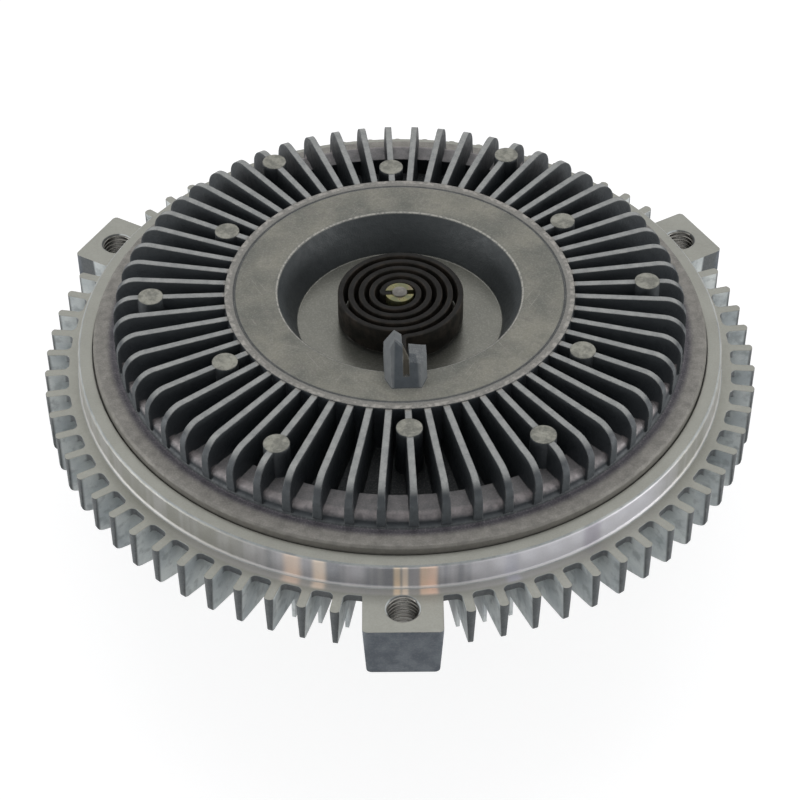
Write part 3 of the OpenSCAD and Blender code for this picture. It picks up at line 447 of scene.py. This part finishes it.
def cast_skin(finish, stain, mottle):
    """Cast faces of the housing: pale teeth, grey shell, and painted shade: dark on the noses and roots of
    the teeth and in the hollows below the flange, dark blue-grey on the lug ends.
    """
    colour = finish.mix(finish.ease(stain, 0.3, 0.7), paint(178, 185, 187), paint(218, 222, 220))
    behind = finish.outward(PILOT_R - 3.0, PILOT_R - 8.0)
    shell = finish.mix(finish.ease(stain, 0.2, 0.8), paint(150, 155, 157), paint(174, 178, 178))
    colour = finish.mix(behind, colour, shell)
    smut = finish.ease(finish.noise(2.4, 4, shift=(0.2, 0.6, 0.3)), 0.48, 0.68)
    smut = finish.both(smut, finish.ease(behind, 0.0, 1.0, 0.40, 0.12))
    colour = finish.mix(smut, colour, paint(104, 111, 115))
    # Painted shade in the hollows between the teeth, just below the flange.
    hollow_shade = finish.both(finish.outward(TIP_R - 2.0, TIP_R - 5.5), finish.rise(-7.0, -0.8))
    colour = finish.mix(finish.both(hollow_shade, 0.46), colour, paint(66, 72, 75))
    # Painted shade at the roots of the slots, under the flange edge.
    root = finish.both(finish.within(ROOT_R - 0.5, ROOT_R + 0.8),
                       finish.band(finish.height, -FLANGE_T - 0.4, -0.1, 0.1))
    colour = finish.mix(finish.both(root, 0.8), colour, paint(48, 51, 54))
    # Painted shade on the outer ends of the teeth.
    nose_shade = finish.mix(mottle, paint(50, 55, 58), paint(96, 100, 101))
    colour = finish.mix(finish.outward(TIP_R - 0.9, TIP_R - 0.3), colour, nose_shade)
    # Painted shade on the lug ends.
    lug_face_shade = finish.mix(finish.ease(finish.noise(3, 4), 0.35, 0.65), paint(72, 79, 87), paint(98, 104, 110))
    return finish.mix(finish.outward(LUG_FACE_R - 1.2, LUG_FACE_R - 0.5), colour, lug_face_shade)


def turned_skin(finish, stain, wall):
    """Turned faces of the housing: flange face, brighter next to the lip in front with a painted reflection,
    and the lip's wall.
    """
    colour = finish.mix(stain, paint(144, 144, 136), paint(164, 164, 156))
    # Painted reflection of the lip on the flange face in front, with streaks.
    glint = lip_streaks(finish, finish.mix(0.45, colour, paint(196, 194, 194)), 0.8)
    reflection_beside = finish.both(finish.within(PILOT_R, ROOT_R - 0.4, 0.4), finish.toward(-95, 22, 20))
    colour = finish.mix(reflection_beside, colour, glint)
    colour = finish.mix(wall, colour, lip_wall(finish, stain))
    # Painted highlight along the fillet at the foot of the lip's wall.
    foot = finish.both(finish.within(PILOT_R - 0.1, PILOT_R + 0.35, 0.1),
                       finish.band(finish.height, 0.02, 0.35, 0.05))
    return finish.mix(finish.both(foot, 0.6), colour, paint(192, 190, 187))


def lip_wall(finish, stain):
    """Colour of the pilot lip's turned wall: grey, with painted reflections: bluish at the front lug, a
    bright patch to the front right and narrow bright streaks.
    """
    # Painted reflections: streaks that change round the axis.
    reflection_streak = finish.ease(finish.sweep(3), 0.42, 0.62)
    colour = finish.mix(stain, paint(138, 138, 131), paint(158, 157, 150))
    colour = finish.mix(finish.both(reflection_streak, 0.4), colour, paint(180, 179, 179))
    # Painted reflection, bluish, at the front lug.
    cool_reflection = finish.mix(reflection_streak, paint(144, 146, 154), paint(178, 176, 181))
    front = finish.both(finish.toward(-92, 14, 14), 0.75)
    colour = finish.mix(front, colour, cool_reflection)
    # Painted highlight on the wall to the front right.
    colour = finish.mix(finish.toward(-58, 10, 14), colour, paint(204, 203, 208))
    return lip_streaks(finish, colour, 0.85)


def lip_streaks(finish, colour, strength):
    """Narrow streaks of painted reflection laid over the colour of the lip's wall, or of the face at its
    foot.
    """
    for degrees, reach, tint in LIP_STREAKS:
        peak = finish.math("POWER", finish.toward(degrees, 0.0, reach), 3.0)
        colour = finish.mix(finish.both(peak, strength), colour, tint)
    return colour


def plain_metal(name, dark, light, roughness, metallic, turned=0.0, grain=0.3):
    """Metal with slight stains, fine grain and, where it is turned, rings round the axis."""
    finish = Finish(name)
    stain = finish.noise(4, 4)
    colour = finish.mix(finish.ease(stain, 0.35, 0.65), dark, light)
    softened = finish.rounded(0.15)
    worn = finish.both(finish.edge(softened), finish.ease(finish.noise(0.8), 0.4, 0.7))
    colour = finish.mix(finish.both(worn, 0.6), colour, paint(214, 212, 206))
    shine = finish.ease(finish.noise(1.5, 3), 0.3, 0.7, roughness - 0.06, roughness + 0.08)
    relief = finish.bump(finish.noise(grain, 2), 0.02, softened)
    if turned:
        relief = finish.bump(finish.rings(0.2), turned, relief)
    return finish.dress(Base_Color=colour, Roughness=shine, Metallic=metallic, Normal=relief)


def bimetal_strip():
    """Brown-black oxidised strip, darkest on its sheared upper edge."""
    finish = Finish("bimetal_strip")
    stain = finish.noise(2.5, 4)
    flat = finish.mix(finish.ease(stain, 0.35, 0.7), paint(34, 33, 30), paint(58, 52, 46))
    edge = finish.mix(finish.noise(1.2, 3), paint(8, 7, 6), paint(22, 20, 18))
    colour = finish.mix(finish.upward(), flat, edge)
    relief = finish.bump(finish.noise(0.4, 3, stretch=(1, 1, 0.3)), 0.03)
    return finish.dress(Base_Color=colour, Roughness=finish.ease(stain, 0.3, 0.7, 0.62, 0.46),
                        Specular_IOR_Level=0.15, Normal=relief)


def zinc_plate():
    """Yellow passivated zinc with its greenish and pinkish bloom."""
    finish = Finish("zinc_plated")
    bloom = finish.noise(1.3, 3)
    colour = finish.mix(finish.ease(bloom, 0.4, 0.6), paint(120, 116, 78), paint(98, 100, 74))
    blush = finish.ease(finish.noise(2.2, 2, shift=(0.5, 0.2, 0.1)), 0.55, 0.7)
    colour = finish.mix(blush, colour, paint(114, 104, 82))
    relief = finish.bump(finish.noise(0.25, 2), 0.02)
    return finish.dress(Base_Color=colour, Roughness=finish.ease(bloom, 0.3, 0.7, 0.26, 0.40),
                        Metallic=0.6, Normal=relief)


def seal_rubber():
    """Black moulded rubber with a dusty bloom."""
    finish = Finish("seal_rubber")
    bloom = finish.noise(1.5, 4)
    colour = finish.mix(bloom, paint(26, 26, 27), paint(52, 52, 52))
    relief = finish.bump(finish.noise(0.2, 2), 0.02)
    return finish.dress(Base_Color=colour, Roughness=finish.ease(bloom, 0.3, 0.7, 0.55, 0.75), Normal=relief)


def cage_plastic():
    """Amber moulded nylon."""
    finish = Finish("cage_plastic")
    flow = finish.noise(3, 3)
    colour = finish.mix(flow, paint(150, 118, 74), paint(188, 158, 108))
    relief = finish.bump(finish.noise(0.3, 2), 0.02)
    return finish.dress(Base_Color=colour, Roughness=finish.ease(flow, 0.3, 0.7, 0.4, 0.55), Normal=relief)


FINISHES = {
    "cover_casting": cover_casting(),
    "housing_casting": housing_casting(),
    "bimetal_strip": bimetal_strip(),
    "zinc_plated": zinc_plate(),
    "bright_steel": plain_metal("bright_steel", paint(150, 149, 147), paint(190, 189, 186), 0.30, 0.9, 0.01),
    "peened_steel": plain_metal("peened_steel", paint(88, 86, 82), paint(134, 131, 125), 0.38, 0.5, 0.0, 0.7),
    "cut_thread": plain_metal("cut_thread", paint(92, 91, 87), paint(146, 144, 139), 0.30, 0.85),
    "shaft_steel": plain_metal("shaft_steel", paint(116, 116, 117), paint(130, 129, 128), 0.38, 0.9, 0.02),
    "sheet_steel": plain_metal("sheet_steel", paint(150, 150, 148), paint(182, 182, 178), 0.42, 0.85),
    "rotor_alloy": plain_metal("rotor_alloy", paint(168, 170, 168), paint(196, 196, 192), 0.36, 0.8, 0.02),
    "spring_steel": plain_metal("spring_steel", paint(48, 48, 52), paint(74, 73, 74), 0.42, 0.8),
    "seal_rubber": seal_rubber(),
    "cage_plastic": cage_plastic(),
}

# The finish of each solid that the scene keeps
SOLID_FINISHES = {
    "front_cover": "cover_casting",
    "rear_housing": "housing_casting",
    "cover_seal": "seal_rubber",
    "coil_arbor": "zinc_plated",
    "valve_shaft": "peened_steel",
    "valve_shaft_seal": "seal_rubber",
    "valve_thrust_washer": "bright_steel",
    "valve_lever": "sheet_steel",
    "pump_plate": "sheet_steel",
    "pump_plate_rivets": "bright_steel",
    "rotor": "rotor_alloy",
    "drive_shaft": "shaft_steel",
    "bearing_inner_ring": "bright_steel",
    "bearing_outer_ring": "bright_steel",
    "bearing_balls_front": "bright_steel",
    "bearing_balls_rear": "bright_steel",
    "bearing_cage_front": "cage_plastic",
    "bearing_cage_rear": "cage_plastic",
    "bearing_seal_front": "seal_rubber",
    "bearing_seal_rear": "seal_rubber",
    "bearing_retaining_ring": "spring_steel",
}

for solid, finish_name in SOLID_FINISHES.items():
    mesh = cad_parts[solid].data
    mesh.materials.clear()
    mesh.materials.append(FINISHES[finish_name])


# Wound coil, which replaces the plain one

# Points on the strip's straight outer end, in millimetres from the axis
COIL_LEG_POINTS = (POST_SLOT_END, 17.0, 15.5)


def arc_points(centre_x, radius, first, last, steps):
    """Points of an arc whose centre is on the X axis."""
    angles = np.linspace(first, last, steps)
    return [(centre_x + radius * math.cos(a), radius * math.sin(a)) for a in angles]


def rounded_bend(before, corner, after, radius, steps=6):
    """Points of a bend of the given radius in place of a square corner."""
    corner = Vector(corner)
    to_before = (Vector(before) - corner).normalized()
    to_after = (Vector(after) - corner).normalized()
    start = corner + to_before * radius
    end = corner + to_after * radius
    shares = np.linspace(0, 1, steps)
    return [tuple(start * (1 - t) ** 2 + corner * 2 * t * (1 - t) + end * t ** 2) for t in shares]


def coil_route():
    """Middle line of the strip, from the post's slot inwards to the arbor, in the cover's own frame."""
    shift = COIL_PITCH / 4
    centres = (shift - COIL_LEAN, -shift - COIL_LEAN)
    last_r = COIL_FIRST_R + COIL_HALF_TURNS * COIL_PITCH / 2
    bend_r = COIL_T
    outer_angle = -math.acos(-centres[1] / last_r)
    corner = (0.0, last_r * math.sin(outer_angle))
    arc = arc_points(centres[1], last_r, outer_angle, 0.0, 24)
    past_bend = [p for p in arc if (Vector(p) - Vector(corner)).length > bend_r * 1.2]
    route = [(0.0, -reach) for reach in COIL_LEG_POINTS]
    route += rounded_bend(route[-1], corner, past_bend[0], bend_r)
    route += past_bend
    for turn in range(COIL_HALF_TURNS - 1, -1, -1):
        back = turn % 2 == 0
        first = 0.0 if back else math.pi
        route += arc_points(centres[0 if back else 1], COIL_FIRST_R + turn * COIL_PITCH / 2,
                            first, first + math.pi, 33)[1:]
    inner_x = centres[0] - COIL_FIRST_R
    inner_bend_r = bend_r * 0.7
    route = [p for p in route if abs(p[0] - inner_x) > 0.4 or abs(p[1]) > inner_bend_r]
    route += rounded_bend((inner_x, bend_r), (inner_x, 0.0), (0.0, 0.0), inner_bend_r)
    route.append((-SHAFT_PIN_R - 0.1, 0.0))
    return [Vector(p) for p in route]


def strip_section():
    """Half-width and height of the strip's corners, slightly broken."""
    half = COIL_T / 2
    break_r = 0.16
    return [
        (-half, COIL_H + break_r), (-half, COIL_H + COIL_W - break_r),
        (-half + break_r, COIL_H + COIL_W), (half - break_r, COIL_H + COIL_W),
        (half, COIL_H + COIL_W - break_r), (half, COIL_H + break_r),
        (half - break_r, COIL_H), (-half + break_r, COIL_H),
    ]


def wound_coil():
    """The strip as one closed mesh, with each corner's share of the way from the post to the arbor."""
    route = coil_route()
    section = strip_section()
    turn = Matrix.Rotation(COVER_CLOCK, 2)
    shape = bmesh.new()
    rows = []
    length = [0.0]
    for i, point in enumerate(route):
        ahead = route[min(i + 1, len(route) - 1)] - route[max(i - 1, 0)]
        across = Vector((-ahead.y, ahead.x)).normalized()
        if i:
            length.append(length[-1] + (point - route[i - 1]).length)
        row = []
        for offset, height in section:
            spot = turn @ (point + across * offset)
            row.append(shape.verts.new((spot.x * MM, spot.y * MM, (FLANGE_Z + height) * MM)))
        rows.append(row)
    count = len(section)
    for first, second in zip(rows, rows[1:]):
        for k in range(count):
            shape.faces.new((first[k], second[k], second[(k + 1) % count], first[(k + 1) % count]))
    shape.faces.new(rows[0])
    shape.faces.new(list(reversed(rows[-1])))
    bmesh.ops.recalc_face_normals(shape, faces=shape.faces)
    mesh = bpy.data.meshes.new("wound_coil")
    shape.to_mesh(mesh)
    shape.free()
    mesh.materials.append(FINISHES["bimetal_strip"])
    coil = bpy.data.objects.new("wound_coil", mesh)
    bpy.context.scene.collection.objects.link(coil)
    share = np.repeat(np.array(length) / length[-1], count)
    return coil, share.astype(np.float32)


coil, coil_share = wound_coil()
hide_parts("bimetal_coil")
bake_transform(coil)


# Threads

def thread_tree():
    """Thread ridges in one or more bores: a wedge carried along a helix and copied round the axis."""
    tree = bpy.data.node_groups.new("thread_ridges", "GeometryNodeTree")
    tree.interface.new_socket("Geometry", in_out="OUTPUT", socket_type="NodeSocketGeometry")
    for name, kind, value in (
        ("Bore radius", "NodeSocketFloat", 0.003), ("Pitch", "NodeSocketFloat", 0.001),
        ("Ridge height", "NodeSocketFloat", 0.0005), ("Turns", "NodeSocketFloat", 9.0),
        ("Bore count", "NodeSocketInt", 1), ("Circle radius", "NodeSocketFloat", 0.0),
        ("First angle", "NodeSocketFloat", 0.0), ("Lowest", "NodeSocketFloat", 0.0),
        ("Finish", "NodeSocketMaterial", None),
    ):
        socket = tree.interface.new_socket(name, in_out="INPUT", socket_type=kind)
        if value is not None:
            socket.default_value = value

    def node(kind, inputs=None, **settings):
        return add_node(tree, kind, inputs, **settings)

    def calc(operation, first, second):
        return node("ShaderNodeMath", {0: first, 1: second}, operation=operation).outputs[0]

    given = node("NodeGroupInput").outputs
    rise = calc("MULTIPLY", given["Pitch"], given["Turns"])
    helix = node("GeometryNodeCurveSpiral", {
        "Resolution": 40, "Rotations": given["Turns"], "Start Radius": given["Bore radius"],
        "End Radius": given["Bore radius"], "Height": rise,
    })
    level = node("GeometryNodeSetCurveNormal", {"Curve": helix.outputs[0]}, mode="Z_UP")
    root = calc("MULTIPLY", given["Pitch"], ROOT_SHARE)
    crest = calc("MULTIPLY", given["Pitch"], CREST_SHARE)
    inward = calc("MULTIPLY", given["Ridge height"], -1.0)
    buried = calc("MULTIPLY", given["Ridge height"], 0.1)
    corners = [(buried, root), (buried, calc("MULTIPLY", root, -1.0)),
               (inward, calc("MULTIPLY", crest, -1.0)), (inward, crest)]
    wedge = node("GeometryNodeCurvePrimitiveQuadrilateral", mode="POINTS")
    for corner, (x, y) in enumerate(corners, 1):
        spot = node("ShaderNodeCombineXYZ", {"X": x, "Y": y})
        feed(tree, wedge.inputs[f"Point {corner}"], spot.outputs[0])
    ridge = node("GeometryNodeCurveToMesh", {
        "Curve": level.outputs[0], "Profile Curve": wedge.outputs[0], "Fill Caps": True,
    })
    step = calc("DIVIDE", 2 * math.pi, given["Bore count"])
    number = node("GeometryNodeInputIndex").outputs[0]
    bearing = calc("ADD", given["First angle"], calc("MULTIPLY", number, step))
    spot = node("ShaderNodeCombineXYZ", {
        "X": calc("MULTIPLY", given["Circle radius"], calc("COSINE", bearing, 0.0)),
        "Y": calc("MULTIPLY", given["Circle radius"], calc("SINE", bearing, 0.0)),
        "Z": given["Lowest"],
    })
    bores = node("GeometryNodePoints", {"Count": given["Bore count"], "Position": spot.outputs[0]})
    copies = node("GeometryNodeInstanceOnPoints", {"Points": bores.outputs[0], "Instance": ridge.outputs[0]})
    real = node("GeometryNodeRealizeInstances", {"Geometry": copies.outputs[0]})
    dressed = node("GeometryNodeSetMaterial", {"Geometry": real.outputs[0], "Material": given["Finish"]})
    node("NodeGroupOutput", {"Geometry": dressed.outputs[0]})
    return tree


def grown(name, tree, **values):
    """Plain mesh object made by a geometry tree with the given inputs."""
    seed_mesh = bpy.data.meshes.new(name + "_seed")
    piece = bpy.data.objects.new(name, seed_mesh)
    bpy.context.scene.collection.objects.link(piece)
    modifier = piece.modifiers.new("shape", "NODES")
    modifier.node_group = tree
    sockets = {item.name: item.identifier for item in tree.interface.items_tree if item.in_out == "INPUT"}
    for key, value in values.items():
        modifier[sockets[key.replace("_", " ")]] = value
    bpy.context.view_layer.update()
    evaluated = piece.evaluated_get(bpy.context.evaluated_depsgraph_get())
    result = bpy.data.meshes.new_from_object(evaluated)
    piece.modifiers.remove(modifier)
    piece.data = result
    result.name = name
    return piece


threads = thread_tree()
fan_threads = grown(
    "fan_bolt_threads", threads, Bore_radius=LUG_THREAD_R * MM, Pitch=LUG_THREAD_PITCH * MM,
    Ridge_height=LUG_THREAD_PITCH * RIDGE_SHARE * MM, Turns=LUG_THREAD_TURNS,
    Bore_count=LUG_COUNT, Circle_radius=BOLT_R * MM, First_angle=math.radians(FIRST_LUG_ANGLE),
    Lowest=(FLANGE_Z - LUG_DEPTH + LUG_THREAD_LIFT) * MM, Finish=FINISHES["cut_thread"])
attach(fan_threads, "housing")

collar_thread = grown(
    "collar_thread", threads, Bore_radius=COLLAR_THREAD_R * MM, Pitch=COLLAR_THREAD_PITCH * MM,
    Ridge_height=COLLAR_THREAD_PITCH * RIDGE_SHARE * MM, Turns=COLLAR_THREAD_TURNS,
    Bore_count=1, Circle_radius=0.0, First_angle=0.0, Lowest=COLLAR_THREAD_LIFT * MM,
    Finish=FINISHES["shaft_steel"])
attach(collar_thread, "drive")


# Studio

def path_switch(tree):
    """1 for what the camera, a reflection or clear material looks at directly, 0 for bounced light."""
    path = add_node(tree, "ShaderNodeLightPath").outputs
    seen = path["Is Camera Ray"]
    for name in ("Is Glossy Ray", "Is Transmission Ray"):
        seen = add_node(tree, "ShaderNodeMath", {0: seen, 1: path[name]}, operation="MAXIMUM").outputs[0]
    return seen


def shade_mix(tree, seen, bounced, direct):
    """One colour for bounced light and another for what is looked at directly."""
    return add_node(tree, "ShaderNodeMix", {0: seen, 6: bounced, 7: direct}, data_type="RGBA").outputs[2]


def studio_world():
    """Even grey light all round, which looks white itself."""
    world = bpy.data.worlds.new("studio")
    bpy.context.scene.world = world
    world.use_nodes = True
    tree = world.node_tree
    tree.nodes.clear()
    shade = shade_mix(tree, path_switch(tree), (0.36, 0.365, 0.375, 1), (1, 1, 1, 1))
    glow = add_node(tree, "ShaderNodeBackground", {"Color": shade})
    add_node(tree, "ShaderNodeOutputWorld", {"Surface": glow.outputs[0]})


def pale_floor():
    """Matt floor that looks near white but keeps the shadow."""
    material = bpy.data.materials.new("pale_floor")
    material.use_nodes = True
    tree = material.node_tree
    tree.nodes.clear()
    seen = path_switch(tree)
    shade = shade_mix(tree, seen, (0.90, 0.90, 0.90, 1), (0.40, 0.40, 0.40, 1))
    matt = add_node(tree, "ShaderNodeBsdfDiffuse", {"Color": shade})
    lift = add_node(tree, "ShaderNodeMath", {0: seen, 1: 0.78}, operation="MULTIPLY")
    glow = add_node(tree, "ShaderNodeEmission", {"Strength": lift.outputs[0]})
    both = add_node(tree, "ShaderNodeAddShader", {0: matt.outputs[0], 1: glow.outputs[0]})
    add_node(tree, "ShaderNodeOutputMaterial", {"Surface": both.outputs[0]})
    return material


def studio_floor():
    """Large flat floor just below the collar's rear face."""
    mesh = bpy.data.meshes.new("floor")
    sides = ((-1, -1), (1, -1), (1, 1), (-1, 1))
    corners = [(x * FLOOR_HALF, y * FLOOR_HALF, -FLOOR_DROP) for x, y in sides]
    mesh.from_pydata(corners, [], [(0, 1, 2, 3)])
    mesh.materials.append(pale_floor())
    floor = bpy.data.objects.new("floor", mesh)
    bpy.context.scene.collection.objects.link(floor)


def soft_box(name, place, width, height, power):
    """Flat studio lamp that looks at the middle of the clutch."""
    lamp = bpy.data.lights.new(name, "AREA")
    lamp.shape = "RECTANGLE"
    lamp.size = width
    lamp.size_y = height
    lamp.energy = power
    box = bpy.data.objects.new(name, lamp)
    box.location = place
    box.rotation_euler = (Vector(LAMP_AIM) - Vector(place)).to_track_quat("-Z", "Y").to_euler()
    bpy.context.scene.collection.objects.link(box)


def photo_camera():
    """Camera at the photograph's angle, distance and lens."""
    lift = math.radians(CAMERA_LIFT)
    swing = math.radians(CAMERA_SWING)
    roll = math.radians(CAMERA_ROLL)
    back = Vector((math.sin(swing) * math.cos(lift), -math.cos(swing) * math.cos(lift), math.sin(lift)))
    level = Vector((math.cos(swing), math.sin(swing), 0))
    above = back.cross(level)
    right = level * math.cos(roll) - above * math.sin(roll)
    up = level * math.sin(roll) + above * math.cos(roll)
    lens = bpy.data.cameras.new("photo_camera")
    lens.sensor_fit = "HORIZONTAL"
    lens.sensor_width = CAMERA_SENSOR
    lens.lens = CAMERA_LENS
    lens.clip_start = 0.01
    lens.clip_end = 20
    camera = bpy.data.objects.new("photo_camera", lens)
    turn = Matrix((right, up, back)).transposed().to_4x4()
    stand = Vector((0, 0, CAMERA_AIM_Z * MM)) + back * CAMERA_DISTANCE * MM
    camera.matrix_world = Matrix.Translation(stand) @ turn
    bpy.context.scene.collection.objects.link(camera)
    bpy.context.scene.camera = camera


studio_world()
studio_floor()
for soft_box_values in SOFT_BOXES:
    soft_box(*soft_box_values)
photo_camera()
bpy.context.scene.view_settings.view_transform = "Standard"

bpy.context.view_layer.update()
